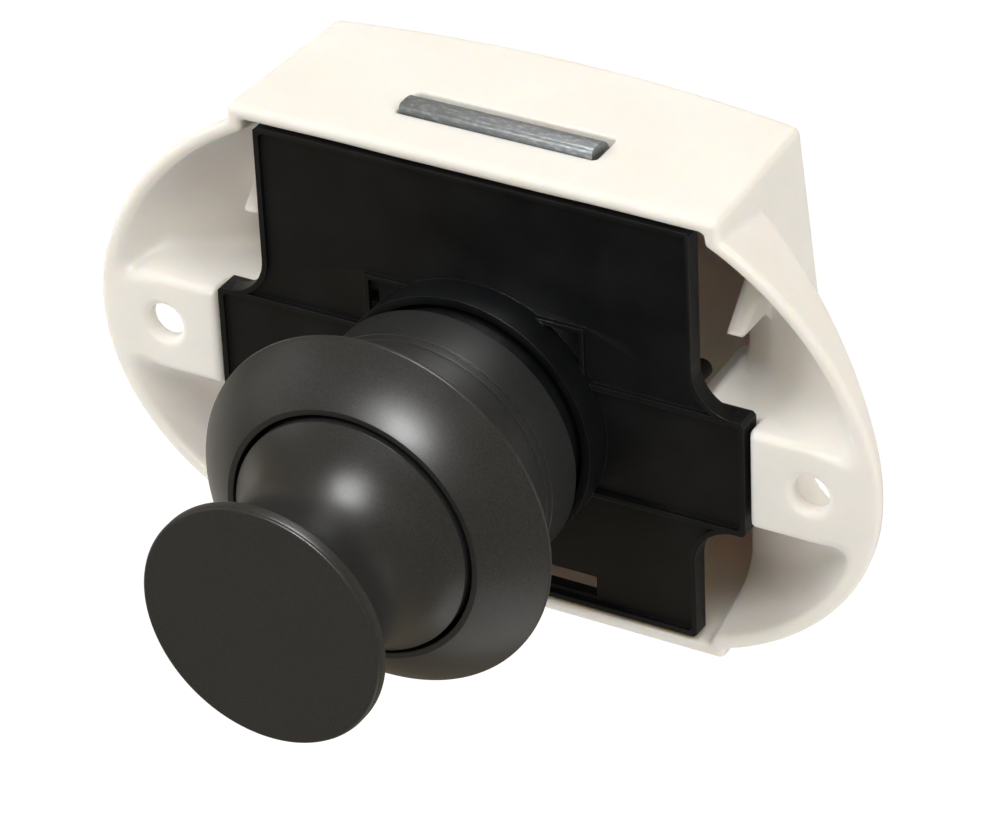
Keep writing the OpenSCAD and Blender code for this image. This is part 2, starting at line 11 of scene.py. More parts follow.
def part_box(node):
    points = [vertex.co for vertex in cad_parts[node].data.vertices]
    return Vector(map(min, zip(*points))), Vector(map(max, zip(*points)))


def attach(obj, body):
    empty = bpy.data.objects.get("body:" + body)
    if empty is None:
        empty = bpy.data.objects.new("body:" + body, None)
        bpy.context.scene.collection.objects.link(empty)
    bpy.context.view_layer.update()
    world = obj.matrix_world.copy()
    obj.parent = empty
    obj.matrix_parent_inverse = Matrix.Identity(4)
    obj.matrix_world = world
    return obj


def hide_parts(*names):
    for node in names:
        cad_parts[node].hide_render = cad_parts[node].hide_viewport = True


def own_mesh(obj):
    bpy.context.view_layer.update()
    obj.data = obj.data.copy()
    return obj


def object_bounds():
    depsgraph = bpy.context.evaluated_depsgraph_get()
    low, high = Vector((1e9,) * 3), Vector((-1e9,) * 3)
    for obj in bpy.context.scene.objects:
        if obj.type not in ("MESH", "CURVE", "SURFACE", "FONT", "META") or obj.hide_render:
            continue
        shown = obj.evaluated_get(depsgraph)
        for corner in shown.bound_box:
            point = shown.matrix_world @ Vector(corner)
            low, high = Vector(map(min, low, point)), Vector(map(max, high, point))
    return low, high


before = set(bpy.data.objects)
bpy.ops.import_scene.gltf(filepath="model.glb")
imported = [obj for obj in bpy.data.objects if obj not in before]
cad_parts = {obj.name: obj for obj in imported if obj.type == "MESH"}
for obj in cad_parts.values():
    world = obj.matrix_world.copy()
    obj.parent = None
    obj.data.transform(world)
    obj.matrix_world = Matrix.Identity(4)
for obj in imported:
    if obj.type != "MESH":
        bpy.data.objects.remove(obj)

bl_info = {
    "name": "Push-Button Lock",
    "version": (1, 0, 0),
    "blender": (4, 5, 0),
    "location": "View3D > Sidebar > Lock",
    "description": "Finishes the pieces of a push-button lock and sets up its studio",
    "category": "Add Mesh",
}

PICTURE_WIDTH, PICTURE_HEIGHT = 1000, 820
SENSOR = 36.0
MM = 0.001
MERGE = 2e-7

CAD_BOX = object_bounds()

# Spacing of the points along a turned section, and steps of its arcs
PROFILE_GAP = 0.3 * MM
ARCH_STEPS, NECK_STEPS = 12, 60
# Share of a fine ring's width that each of its flanks takes
RING_FLANK = 0.3

# Angles at which an ear's outline passes from its tip to the upper and to the lower circle
UPPER_FROM, LOWER_FROM = math.radians(20), math.radians(-36)
# How far forms of the case reach into each other
OVERLAP = 1.0 * MM
# Height above which the bolt's slot is cut
SLOT_FROM = 20 * MM
# Share of the pad's narrowing circle in use, and steepness of the field beside it
PAD_SHARE, PAD_STEEPNESS = 0.9, 0.93
# Roundings inside the case and where its forms join
EAR_BACK_R, JOIN_R = 0.8 * MM, 0.4 * MM
HOLLOW_SIDE_R, HOLLOW_BACK_R = 0.5 * MM, 0.8 * MM
BLOCK_EDGE_R, BLOCK_FRONT_R = 0.5 * MM, 0.3 * MM
LUG_R, LUG_FOOT_R = 0.6 * MM, 0.5 * MM
SLOT_R, RECESS_R = 0.2 * MM, 0.25 * MM
# Rounds in which the points settle on a level, and the least squared slope they trust
SETTLE_ROUNDS, LEAST_SLOPE = 4, 0.05

# Neighbours that differ less than this count as one flat face
FLAT_ANGLE = math.radians(0.4)
BEVEL_SEGMENTS, BEVEL_ANGLE = 3, math.radians(30)
# The spring's mesh: points in a turn, sides of the wire, and its radius as a share of the real one
TURN_POINTS, WIRE_SIDES, WIRE_SHARE = 28, 12, 0.99

# Colour sockets of a Mix node, whose names repeat for every type of value
MIX_FACTOR, MIX_LOW, MIX_HIGH, MIX_RESULT = 0, 6, 7, 2
# Range of the broad noise that the finishes use, and range of a mask
TONES = (0.3, 0.7)
FULL = (0.0, 1.0)
# The finer of the two noises in the grain: its scale and its height against the other
FINE_SCALE, FINE_HEIGHT = 3.1, 0.4

FLOOR_HALF, FLOOR_POINTS = 3.0, 12
# Lights by name, azimuth and elevation in degrees, and size
# Fills light the surfaces and give no reflection, and sheens only gleam on them
FILLS = (("back", 185, 35, 0.4), ("key", 15, 62, 0.35), ("left", -70, 35, 0.4), ("right", 85, 35, 0.4))
SHEENS = (
    ("top_sheen", 155, 72, 0.28), ("front_sheen", 0, 25, 0.13),
    ("left_sheen", -105, -30, 0.5), ("side_sheen", -66, 15, 0.35), ("low_sheen", 52, -63, 0.45),
)
FILL_DISTANCE, SHEEN_DISTANCE = 0.7, 0.6


def reach(node, axis, high):
    """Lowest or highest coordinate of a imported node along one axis, 0 to 2 for X to Z."""
    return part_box(node)[1 if high else 0][axis]


def length_prop(label, text, default):
    """A length that a user may change, in metres."""
    return bpy.props.FloatProperty(name=label, description=text, default=default, unit="LENGTH", precision=5)


def colour_prop(label, text, default):
    """A colour that a user may change, as linear red, green and blue."""
    return bpy.props.FloatVectorProperty(
        name=label, description=text, default=default, size=3, min=0, max=1, subtype="COLOR")


def number_prop(label, text, default):
    """A plain number that a user may change."""
    return bpy.props.FloatProperty(name=label, description=text, default=default)


def angle_prop(label, text, degrees):
    """An angle that a user may change, given in degrees."""
    return bpy.props.FloatProperty(
        name=label, description=text, default=math.radians(degrees), subtype="ANGLE")


def power_prop(label, text, default):
    """The power of a light in watts."""
    return bpy.props.FloatProperty(name=label, description=text, default=default, min=0)


class KnobSizes(bpy.types.PropertyGroup):
    """Sizes of the push knob that its box doesn't give."""

    edge: length_prop("Edge", "Thickness of the head's edge", 1.1 * MM)
    base: length_prop("Base", "Length of the straight base", 2.0 * MM)
    base_r: length_prop("Base radius", "Radius of the straight base", 11.31 * MM)
    neck_r: length_prop("Neck radius", "Radius of the neck at its narrowest", 8.6 * MM)
    soft: length_prop("Edge rounding", "Rounding of the head's edges", 0.32 * MM)
    base_soft: length_prop("Base rounding", "Rounding of the edge where the neck meets the base", 0.2 * MM)
    spigot_r: length_prop("Spigot bore", "Radius of the bore for the plunger's spigot", 3.125 * MM)
    spigot_depth: length_prop("Spigot depth", "Depth of the bore for the spigot", 4.0 * MM)
    screw_r: length_prop("Screw bore", "Radius of the bore for the knob's screw", 1.5 * MM)
    screw_depth: length_prop("Screw depth", "Depth of the bore for the screw", 6.5 * MM)


class RosetteSizes(bpy.types.PropertyGroup):
    """Sizes of the rosette and its sleeve that their box doesn't give."""

    flange: length_prop("Flange", "Height of the lip above the flange's back", 4.5 * MM)
    edge: length_prop("Edge", "Height of the straight outer edge", 0.4 * MM)
    arch_r: length_prop("Arch radius", "Radius of the arch from edge to lip", 16.0 * MM)
    lip: length_prop("Lip", "Width of the flat lip round the knob", 0.55 * MM)
    back: length_prop("Flange back", "Depth of the flange's back, where the door's face lies", -17.4 * MM)
    sleeve_r: length_prop("Sleeve radius", "Outer radius of the sleeve", 12.75 * MM)
    bore_r: length_prop("Sleeve bore", "Inner radius of the sleeve", 11.7 * MM)
    first_ring: length_prop("First ring", "From the flange to the first fine ring", 6.7 * MM)
    second_ring: length_prop("Second ring", "From the flange to the second fine ring", 7.7 * MM)
    ring_width: length_prop("Ring width", "Width of the fine rings round the sleeve", 0.2 * MM)
    ring_depth: length_prop("Ring depth", "Depth of the fine rings round the sleeve", 0.1 * MM)
    soft: length_prop("Edge rounding", "Rounding of the rosette's edges", 0.2 * MM)


class HousingSizes(bpy.types.PropertyGroup):
    """Sizes of the ivory case that its box doesn't give."""

    half_w: length_prop("Half width", "Half width of the case box at its front", 24.1 * MM)
    corner_depth: length_prop("Corner depth", "Depth of the case top at its back corners", 17.5 * MM)
    mid_depth: length_prop("Middle depth", "Depth of the case top at its middle", 19.85 * MM)
    side_lean: number_prop("Side lean", "Inward lean of the sides", 0.05)
    back_lean: number_prop("Back lean", "Outward lean of the back", 0.2)
    deep_half: length_prop("Deep band", "Half height of the back's deepest band", 3.5 * MM)
    wall: length_prop("Wall", "Thickness of the walls", 1.35 * MM)
    ear_z: length_prop("Ear height", "Height of the ear's tip", 0.9 * MM)
    tip_r: length_prop("Tip radius", "Radius of the outline round the tip", 18.9 * MM)
    upper_r: length_prop("Upper radius", "Radius of the outline above the tip", 29.5 * MM)
    lower_r: length_prop("Lower radius", "Radius of the outline below the tip", 23.5 * MM)
    draft: number_prop("Ear draft", "Inward lean of the ear's wall", 0.2)
    root_depth: length_prop("Root depth", "Depth of an ear where it leaves the case", 9.5 * MM)
    tip_depth: length_prop("Tip depth", "Depth of an ear at its tip", 1.7 * MM)
    screw_x: length_prop("Screw hole", "From the middle to a screw hole", 32.45 * MM)
    screw_z: length_prop("Screw height", "Height of the screw holes", 0.2 * MM)
    screw_r: length_prop("Screw radius", "Radius of a screw hole", 1.75 * MM)
    head_r: length_prop("Head radius", "Radius of the recess for a screw head", 3.7 * MM)
    seat: length_prop("Seat", "Thickness under a screw head", 1.9 * MM)
    mouth: length_prop("Mouth", "Rounding of a screw hole's mouth", 0.75 * MM)
    pad_x: length_prop("Pad start", "From the middle to the inner end of a screw pad", 26.64 * MM)
    pad_half: length_prop("Pad half height", "Half height of a screw pad", 5.0 * MM)
    pad_bend: length_prop("Pad bend", "Where the pad starts to narrow", 32.0 * MM)
    pad_reach: length_prop("Pad radius", "Radius of the curve in which it narrows", 7.0 * MM)
    block_x: length_prop("Block start", "From the middle to the block behind the plate's band", 20.0 * MM)
    block_front: length_prop("Block front", "Depth of the front of that block", 2.4 * MM)
    slot_half: length_prop("Slot half width", "Half width of the bolt's slot", 9.8 * MM)
    slot_front: length_prop("Slot front", "Depth of the slot's front", 5.15 * MM)
    slot_back: length_prop("Slot back", "Depth of the slot's back", 9.3 * MM)
    lug_front: length_prop("Lug front", "Depth of the lug's front at the ear's root", 2.5 * MM)
    lug_z: length_prop("Lug height", "Height of the lug's lower face", 12.3 * MM)
    lug_h: length_prop("Lug size", "From the lug's lower face to its top", 3.6 * MM)
    lug_half: length_prop("Lug half width", "Half width of the lug", 0.9 * MM)
    lug_lean: number_prop("Lug lean", "Fall of the lug's top", 1.4)
    seat_y: length_prop("Spring seat", "Depth of the spring's seat", 18.0 * MM)
    seat_r: length_prop("Seat radius", "Radius of the spring's seat", 6.35 * MM)
    peg_r: length_prop("Peg radius", "Radius of the peg inside the spring", 4.5 * MM)
    peg: length_prop("Peg", "Length of the peg inside the spring", 3.0 * MM)
    boss_half: length_prop("Boss half width", "Half width of the follower's boss", 2.5 * MM)
    boss_h: length_prop("Boss half height", "Half height of the follower's boss", 1.8 * MM)
    boss_z: length_prop("Boss height", "Height of the middle of the follower's boss", -12.95 * MM)
    boss_front: length_prop("Boss front", "Depth of the front of the follower's boss", 13.2 * MM)
    pivot_y: length_prop("Pivot depth", "Depth of the follower's pivot", 15.2 * MM)
    pivot_r: length_prop("Pivot bore", "Radius of the bore for the follower's pivot", 0.55 * MM)
    edge_r: length_prop("Edge rounding", "Rounding of the case's upper and lower edges", 0.7 * MM)
    back_r: length_prop("Back rounding", "Rounding of the edges round the case's back", 0.45 * MM)
    rim_r: length_prop("Rim rounding", "Rounding of the front edges", 0.55 * MM)
    floor_r: length_prop("Ear fillet", "Fillet between an ear's wall and floor", 2.2 * MM)
    block_r: length_prop("Block fillet", "Fillet round the screw block", 3.2 * MM)
    pad_r: length_prop("Pad rounding", "Rounding of the pad's front edges", 0.8 * MM)
    step: length_prop("Step", "Spacing of the grid on which the surface is found", 0.4 * MM)


class MouldSizes(bpy.types.PropertyGroup):
    """Edge rounding of the moulded and cast pieces."""

    plate_edge: length_prop("Plate edges", "Rounding of the black plate's edges", 0.16 * MM)
    bolt_edge: length_prop("Bolt edges", "Rounding of the cast bolt's edges", 0.18 * MM)
    plunger_edge: length_prop("Plunger edges", "Rounding of the plunger's edges", 0.12 * MM)


class WireSizes(bpy.types.PropertyGroup):
    """Sizes of the return spring that its box doesn't give."""

    spring_wire: length_prop("Spring wire", "Radius of the spring's wire", 0.45 * MM)
    spring_turns: number_prop("Spring turns", "Turns of the spring", 11)


class LockColours(bpy.types.PropertyGroup):
    """Colours of the lock's finishes."""

    ivory: colour_prop("Ivory", "Moulded case", (0.86, 0.846, 0.812))
    black: colour_prop("Black", "Front plate and plunger", (0.0042, 0.0048, 0.0057))
    anthracite: colour_prop("Anthracite", "Knob and rosette", (0.0205, 0.0212, 0.0218))
    zinc: colour_prop("Zinc", "Cast bolt", (0.275, 0.295, 0.31))
    steel: colour_prop("Steel", "Screw, spring and follower", (0.52, 0.53, 0.55))
    # Painted highlight: a lighter black for the front plate's bevelled edges, standing in for the thin
    # gleams along them
    edge: colour_prop("Painted edge highlight", "Edges of the front plate", (0.011, 0.0115, 0.0125))
    floor: colour_prop("Floor", "Studio floor", (0.2, 0.2, 0.2))
    bounce: colour_prop("Bounce", "Tint of the light all round", (1.0, 0.81, 0.53))


class StageSetup(bpy.types.PropertyGroup):
    """Camera and light of the studio."""

    azimuth: angle_prop("Azimuth", "Turn of the camera about Z", 30.375)
    elevation: angle_prop("Elevation", "Height of the camera", 32.823)
    roll: angle_prop("Roll", "Turn of the picture", -2.629)
    distance: length_prop("Distance", "From the lock's origin to the camera", 0.456741)
    focal: number_prop("Focal length", "Focal length in pixels of the picture", 5193.39)
    origin_px: bpy.props.FloatVectorProperty(
        name="Origin", description="Pixel at which the lock's origin shows",
        default=(476.676, 408.989), size=2)
    floor_drop: length_prop("Floor", "Depth of the floor below the lock", 0.25)
    ambient: number_prop("Ambient", "Strength of the light all round", 0.26)
    floor_glow: number_prop("Floor glow", "Light that the floor gives", 0.9)
    back: power_prop("Back fill", "Power of the fill behind the lock", 0.9)
    key: power_prop("Key fill", "Power of the fill above and before the lock", 1.85)
    left: power_prop("Left fill", "Power of the fill from the left", 3.1)
    right: power_prop("Right fill", "Power of the fill from the right", 2.0)
    top_sheen: power_prop("Top sheen", "Power of the gleam from above", 3.9)
    front_sheen: power_prop("Front sheen", "Power of the gleam from the front", 2.9)
    left_sheen: power_prop("Left sheen", "Power of the gleam from the left and below", 0.3)
    side_sheen: power_prop("Side sheen", "Power of the gleam from the left", 0.25)
    low_sheen: power_prop("Low sheen", "Power of the gleam from below", 0.6)


# Shapes


def round_corners(corners, radii, closed, steps=6):
    """A polyline whose corner i becomes an arc of radius radii[i].

    The arc touches both sides of the corner: its centre lies on the bisector at r / sin(half angle),
    and it starts and ends r / tan(half angle) from the corner.
    """
    points, parts = np.asarray(corners, float), []
    count = len(points)
    for i, radius in enumerate(radii):
        if radius == 0 or (not closed and i in (0, count - 1)):
            parts.append(points[i:i + 1])
            continue
        back, on = points[i - 1] - points[i], points[(i + 1) % count] - points[i]
        back, on = back / np.linalg.norm(back), on / np.linalg.norm(on)
        half = np.arccos(np.clip(back @ on, -1, 1)) / 2
        middle = (back + on) / np.linalg.norm(back + on)
        centre = points[i] + middle * radius / np.sin(half)
        first, last = points[i] + back * radius / np.tan(half), points[i] + on * radius / np.tan(half)
        start = np.arctan2(*(first - centre)[::-1])
        turn = np.arctan2(*(last - centre)[::-1]) - start
        turn = (turn + np.pi) % (2 * np.pi) - np.pi
        angle = start + turn * np.linspace(0, 1, steps)
        parts.append(centre + radius * np.column_stack((np.cos(angle), np.sin(angle))))
    return np.vstack(parts)


def arc(centre, radius, first, last, steps):
    """Points centre + radius * (cos a, sin a) for angles a from first to last, in radians."""
    angle = np.linspace(first, last, steps)
    return np.column_stack((centre[0] + radius * np.cos(angle), centre[1] + radius * np.sin(angle)))


def spaced(points, gap, closed):
    """The same polyline with points added so that none lie further apart than the gap."""
    ends = np.vstack((points, points[:1])) if closed else points
    lengths = np.linalg.norm(np.diff(ends, axis=0), axis=1)
    counts = np.maximum(1, np.ceil(lengths / gap)).astype(int)
    index = np.repeat(np.arange(len(counts)), counts)
    share = (np.arange(len(index)) - np.repeat(np.cumsum(counts) - counts, counts)) / counts[index]
    made = ends[index] + share[:, None] * (ends[index + 1] - ends[index])
    return made if closed else np.vstack((made, ends[-1:]))


def grid_faces(rows, columns, rows_wrap, columns_wrap):
    """Quads between neighbours of a grid of points, joined end to end where a direction wraps."""
    row = np.arange(rows if rows_wrap else rows - 1)[:, None]
    column = np.arange(columns if columns_wrap else columns - 1)[None, :]
    below, beside = (row + 1) % rows, (column + 1) % columns
    here, under = row * columns, below * columns
    quads = (here + column, here + beside, under + beside, under + column)
    return np.stack(np.broadcast_arrays(*quads), axis=-1).reshape(-1, 4)


def turned_surface(profile, closed, segments=224):
    """A profile of radius and depth turned about the knob axis: x = r sin t, y = depth, z = r cos t."""
    turn = np.linspace(0, 2 * np.pi, segments, endpoint=False)[None, :]
    radius, depth = profile[:, :1], profile[:, 1:]
    points = np.stack(np.broadcast_arrays(radius * np.sin(turn), depth, radius * np.cos(turn)), axis=-1)
    return points.reshape(-1, 3), grid_faces(len(profile), segments, closed, True)


def tube_surface(path, radius, across, sides):
    """A circle carried along a path, in the plane of two directions square to the path.

    The first is the cross product of the path's direction and the direction across, and the second
    that of the path's direction and the first.
    """
    along = np.gradient(path, axis=0)
    along /= np.linalg.norm(along, axis=1, keepdims=True)
    first = np.cross(along, across)
    first /= np.linalg.norm(first, axis=1, keepdims=True)
    second = np.cross(along, first)
    turn = np.linspace(0, 2 * np.pi, sides, endpoint=False)[None, :, None]
    rings = path[:, None] + radius * (np.cos(turn) * first[:, None] + np.sin(turn) * second[:, None])
    return rings.reshape(-1, 3), grid_faces(len(path), sides, False, True)


def quad_mesh(name, points, faces):
    """A smooth mesh of points and quads, given as whole arrays."""
    mesh = bpy.data.meshes.new(name)
    mesh.vertices.add(len(points))
    mesh.vertices.foreach_set("co", points.astype(np.float32).ravel())
    mesh.loops.add(faces.size)
    mesh.loops.foreach_set("vertex_index", faces.astype(np.int32).ravel())
    mesh.polygons.add(len(faces))
    mesh.polygons.foreach_set("loop_start", np.arange(0, faces.size, 4, dtype=np.int32))
    mesh.update(calc_edges=True)
    mesh.shade_smooth()
    return mesh


def grid_mesh(name, points, faces):
    """A closed mesh of a grid of quads: doubled points at poles merged, open ends capped, faces outwards."""
    mesh = quad_mesh(name, points, faces)
    work = bmesh.new()
    work.from_mesh(mesh)
    bmesh.ops.remove_doubles(work, verts=work.verts, dist=MERGE)
    bmesh.ops.holes_fill(work, edges=[edge for edge in work.edges if edge.is_boundary])
    bmesh.ops.recalc_face_normals(work, faces=work.faces)
    work.to_mesh(mesh)
    work.free()
    mesh.shade_smooth()
    return mesh


def round_and(first, second, radius):
    """Where two fields are both negative, with a rounded edge.

    Where both lie above -r, the value is the distance to a circle of radius r, and elsewhere the larger one.
    """
    corner = np.hypot(np.maximum(first + radius, 0), np.maximum(second + radius, 0))
    return np.minimum(-radius, np.maximum(first, second)) + corner


def round_or(first, second, radius):
    """Where either of two fields is negative, with a fillet of the radius in the corner between them."""
    return -round_and(-first, -second, radius)


def slope_of(field, points, offset=0.02 * MM):
    """Gradient of a field by central differences, as an array of directions."""
    steps = np.eye(3) * offset
    rises = [field(*(points + step).T) - field(*(points - step).T) for step in steps]
    return np.stack([rise / (2 * offset) for rise in rises], axis=-1)


def level_surface(field, low, high, step):
    """Quads on the zero level of a field that is sampled on a grid.

    A cell that the level crosses gets one point, the mean of the crossings on its edges. An edge that the
    level crosses gets a quad of the four cells round it. The points then move along the gradient onto the
    level. Returned are the points, the quads and the normals at the points.
    """
    axes = [np.arange(a, b + step, step) for a, b in zip(low, high)]
    shape = np.array([len(axis) for axis in axes])
    values = field(*np.meshgrid(*axes, indexing="ij"))
    strides = np.array((shape[1] * shape[2], shape[2], 1))
    total, count, quads = np.zeros((3, shape.prod())), np.zeros(shape.prod()), []
    for axis in range(3):
        here = np.moveaxis(values, axis, 0)
        index = np.argwhere((here[:-1] < 0) != (here[1:] < 0))
        others = [a for a in range(3) if a != axis]
        nodes = np.empty_like(index)
        nodes[:, axis], nodes[:, others] = index[:, 0], index[:, 1:]
        start, end = here[tuple(index.T)], here[tuple((index + (1, 0, 0)).T)]
        points = nodes * step + np.asarray(low)
        points[:, axis] += step * start / (start - end)
        u, v = strides[(axis + 1) % 3], strides[(axis + 2) % 3]
        cells = (nodes @ strides)[:, None] - np.array((0, u, u + v, v))
        for column in cells.T:
            count += np.bincount(column, minlength=count.size)
            total += [np.bincount(column, part, count.size) for part in points.T]
        quads.append(np.where((start < 0)[:, None], cells, cells[:, ::-1]))
    used = np.flatnonzero(count)
    points = (total[:, used] / count[used]).T
    for _ in range(SETTLE_ROUNDS):
        gradient = slope_of(field, points)
        move = field(*points.T) / np.maximum((gradient ** 2).sum(axis=1), LEAST_SLOPE)
        points -= np.clip(move, -step / 2, step / 2)[:, None] * gradient
    gradient = slope_of(field, points)
    normals = gradient / np.linalg.norm(gradient, axis=1)[:, None]
    return points, np.searchsorted(used, np.vstack(quads)), normals


def merged_mesh(node, name):
    """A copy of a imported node's mesh with its loose triangles merged and flat neighbours joined."""
    work = bmesh.new()
    work.from_mesh(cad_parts[node].data)
    bmesh.ops.remove_doubles(work, verts=work.verts, dist=MERGE)
    bmesh.ops.dissolve_degenerate(work, edges=work.edges, dist=MERGE)
    bmesh.ops.dissolve_limit(work, angle_limit=FLAT_ANGLE, verts=work.verts, edges=work.edges)
    mesh = bpy.data.meshes.new(name)
    work.to_mesh(mesh)
    work.free()
    mesh.shade_smooth()
    return mesh


def place(name, mesh, material, body, node):
    """The finished piece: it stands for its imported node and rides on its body."""
    piece = bpy.data.objects.new(name, mesh)
    bpy.context.scene.collection.objects.link(piece)
    piece.data.materials.clear()
    piece.data.materials.append(material)
    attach(piece, body)
    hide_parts(node)
    return piece


def soften(piece, width):
    """Round every edge sharper than the bevel's angle, and keep flat faces flat in their shading."""
    bevel = piece.modifiers.new("edges", "BEVEL")
    bevel.width = width
    bevel.segments = BEVEL_SEGMENTS
    bevel.limit_method = "ANGLE"
    bevel.angle_limit = BEVEL_ANGLE
    bevel.use_clamp_overlap = True
    bevel.harden_normals = True
    bevel.miter_outer = "MITER_ARC"


def moulded(name, node, finish, body, width):
    """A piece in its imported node's own form, with its edges rounded to a width."""
    piece = place(name, merged_mesh(node, name), Finishes.get(finish), body, node)
    soften(piece, width)
    return piece


def refinish(node, finish):
    """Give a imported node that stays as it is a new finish."""
    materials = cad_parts[node].data.materials
    materials.clear()
    materials.append(Finishes.get(finish))


# Finishes


def new_group(name, inputs, outputs):
    """An empty shader group with named float sockets, and its input and output nodes."""
    group = bpy.data.node_groups.new(name, "ShaderNodeTree")
    for label, default in inputs:
        socket = group.interface.new_socket(label, in_out="INPUT", socket_type="NodeSocketFloat")
        socket.default_value = default
    for label in outputs:
        group.interface.new_socket(label, in_out="OUTPUT", socket_type="NodeSocketFloat")
    return group, group.nodes.new("NodeGroupInput"), group.nodes.new("NodeGroupOutput")


def maths(tree, operation, first, second):
    """A math node whose inputs are sockets or numbers."""
    node = tree.nodes.new("ShaderNodeMath")
    node.operation = operation
    for socket, value in zip(node.inputs, (first, second)):
        if isinstance(value, bpy.types.NodeSocket):
            tree.links.new(value, socket)
        else:
            socket.default_value = value
    return node.outputs[0]


def noise(tree, vector, scale, detail, roughness=0.5):
    """A noise pattern on a vector; scale is a socket or a number of features in a metre."""
    node = tree.nodes.new("ShaderNodeTexNoise")
    node.inputs["Detail"].default_value = detail
    node.inputs["Roughness"].default_value = roughness
    tree.links.new(vector, node.inputs["Vector"])
    if isinstance(scale, bpy.types.NodeSocket):
        tree.links.new(scale, node.inputs["Scale"])
    else:
        node.inputs["Scale"].default_value = scale
    return node.outputs["Fac"]


def remap(tree, value, low, high, new_low, new_high):
    """A clamped map of a value from one range to another."""
    node = tree.nodes.new("ShaderNodeMapRange")
    numbers = (low, high, new_low, new_high)
    for label, number in zip(("From Min", "From Max", "To Min", "To Max"), numbers):
        node.inputs[label].default_value = number
    tree.links.new(value, node.inputs["Value"])
    return node.outputs["Result"]


def grain_group():
    """Fine moulded grain: two noises of a fine and a finer scale for the height, a broad one for tone."""
    group, given, result = new_group(
        "moulded_grain", (("Grain", 3000.0), ("Cloud", 90.0)), ("Height", "Tone"))
    place_at = group.nodes.new("ShaderNodeTexCoord").outputs["Object"]
    coarse = noise(group, place_at, given.outputs["Grain"], 3.0, 0.6)
    fine = noise(group, place_at, maths(group, "MULTIPLY", given.outputs["Grain"], FINE_SCALE), 2.0)
    height = maths(group, "ADD", coarse, maths(group, "MULTIPLY", fine, FINE_HEIGHT))
    group.links.new(height, result.inputs["Height"])
    group.links.new(noise(group, place_at, given.outputs["Cloud"], 4.0, 0.55), result.inputs["Tone"])
    return group


def scratch_group():
    """Fine scratches: noise stretched along one direction, kept only where it peaks."""
    group, given, result = new_group("scratches", (("Scale", 1500.0), ("Stretch", 0.06)), ("Mask", "Height"))
    place_at = group.nodes.new("ShaderNodeTexCoord").outputs["Object"]
    stretch = group.nodes.new("ShaderNodeVectorMath")
    stretch.operation = "MULTIPLY"
    factors = group.nodes.new("ShaderNodeCombineXYZ")
    factors.inputs["Y"].default_value = 1.0
    factors.inputs["Z"].default_value = 1.0
    group.links.new(given.outputs["Stretch"], factors.inputs["X"])
    group.links.new(place_at, stretch.inputs[0])
    group.links.new(factors.outputs[0], stretch.inputs[1])
    lines = noise(group, stretch.outputs[0], given.outputs["Scale"], 5.0, 0.65)
    group.links.new(remap(group, lines, 0.48, 0.72, *FULL), result.inputs["Mask"])
    group.links.new(lines, result.inputs["Height"])
    return group


def add_group(tree, group, **values):
    """A group placed in a material with its own values."""
    node = tree.nodes.new("ShaderNodeGroup")
    node.node_tree = group
    for label, value in values.items():
        node.inputs[label].default_value = value
    return node


def blank_material(name, roughness, metallic=0.0, specular=0.5):
    """A material with one Principled shader whose even values sit on its own sockets."""
    material = bpy.data.materials.new(name)
    material.use_nodes = True
    shader = material.node_tree.nodes["Principled BSDF"]
    shader.inputs["Roughness"].default_value = roughness
    shader.inputs["Metallic"].default_value = metallic
    shader.inputs["Specular IOR Level"].default_value = specular
    return material, material.node_tree, shader


def tinted(tree, mask, low, high):
    """A colour that runs from low to high with a mask."""
    node = tree.nodes.new("ShaderNodeMix")
    node.data_type = "RGBA"
    node.inputs[MIX_LOW].default_value = (*low, 1)
    node.inputs[MIX_HIGH].default_value = (*high, 1)
    tree.links.new(mask, node.inputs[MIX_FACTOR])
    return node.outputs[MIX_RESULT]


def bump(tree, height, strength, distance, shader):
    """Bump from a height map into the shader's normal."""
    node = tree.nodes.new("ShaderNodeBump")
    node.inputs["Strength"].default_value = strength
    node.inputs["Distance"].default_value = distance
    tree.links.new(height, node.inputs["Height"])
    tree.links.new(node.outputs["Normal"], shader.inputs["Normal"])


def shade(colour, factor):
    """A colour made lighter or darker by a factor, kept within 0 and 1."""
    return tuple(min(1.0, channel * factor) for channel in colour)


def ivory_plastic(colours, grain):
    """Warm ivory moulding: soft sheen, faint clouds of tone and a very fine grain."""
    material, tree, shader = blank_material("ivory_plastic", roughness=0.42, specular=0.4)
    texture = add_group(tree, grain, Grain=2600.0, Cloud=120.0)
    mask = remap(tree, texture.outputs["Tone"], *TONES, *FULL)
    tree.links.new(tinted(tree, mask, shade(colours.ivory, 0.975), shade(colours.ivory, 1.02)),
                   shader.inputs["Base Color"])
    tree.links.new(remap(tree, texture.outputs["Tone"], *TONES, 0.38, 0.48), shader.inputs["Roughness"])
    shader.inputs["Subsurface Weight"].default_value = 0.6
    shader.inputs["Subsurface Radius"].default_value = (1.1, 0.82, 0.48)
    shader.inputs["Subsurface Scale"].default_value = 0.85 * MM
    bump(tree, texture.outputs["Height"], 0.06, 0.05 * MM, shader)
    return material


def black_plastic(colour, grain, name, roughness, depth, specular):
    """Black moulding with a spark-eroded grain that breaks up its sheen."""
    material, tree, shader = blank_material(name, roughness, specular=specular)
    texture = add_group(tree, grain, Grain=2300.0, Cloud=160.0)
    mask = remap(tree, texture.outputs["Tone"], *TONES, *FULL)
    tree.links.new(tinted(tree, mask, shade(colour, 0.85), shade(colour, 1.3)),
                   shader.inputs["Base Color"])
    tree.links.new(remap(tree, texture.outputs["Tone"], *TONES, roughness - 0.05, roughness + 0.07),
                   shader.inputs["Roughness"])
    bump(tree, texture.outputs["Height"], depth, 0.05 * MM, shader)
    return material


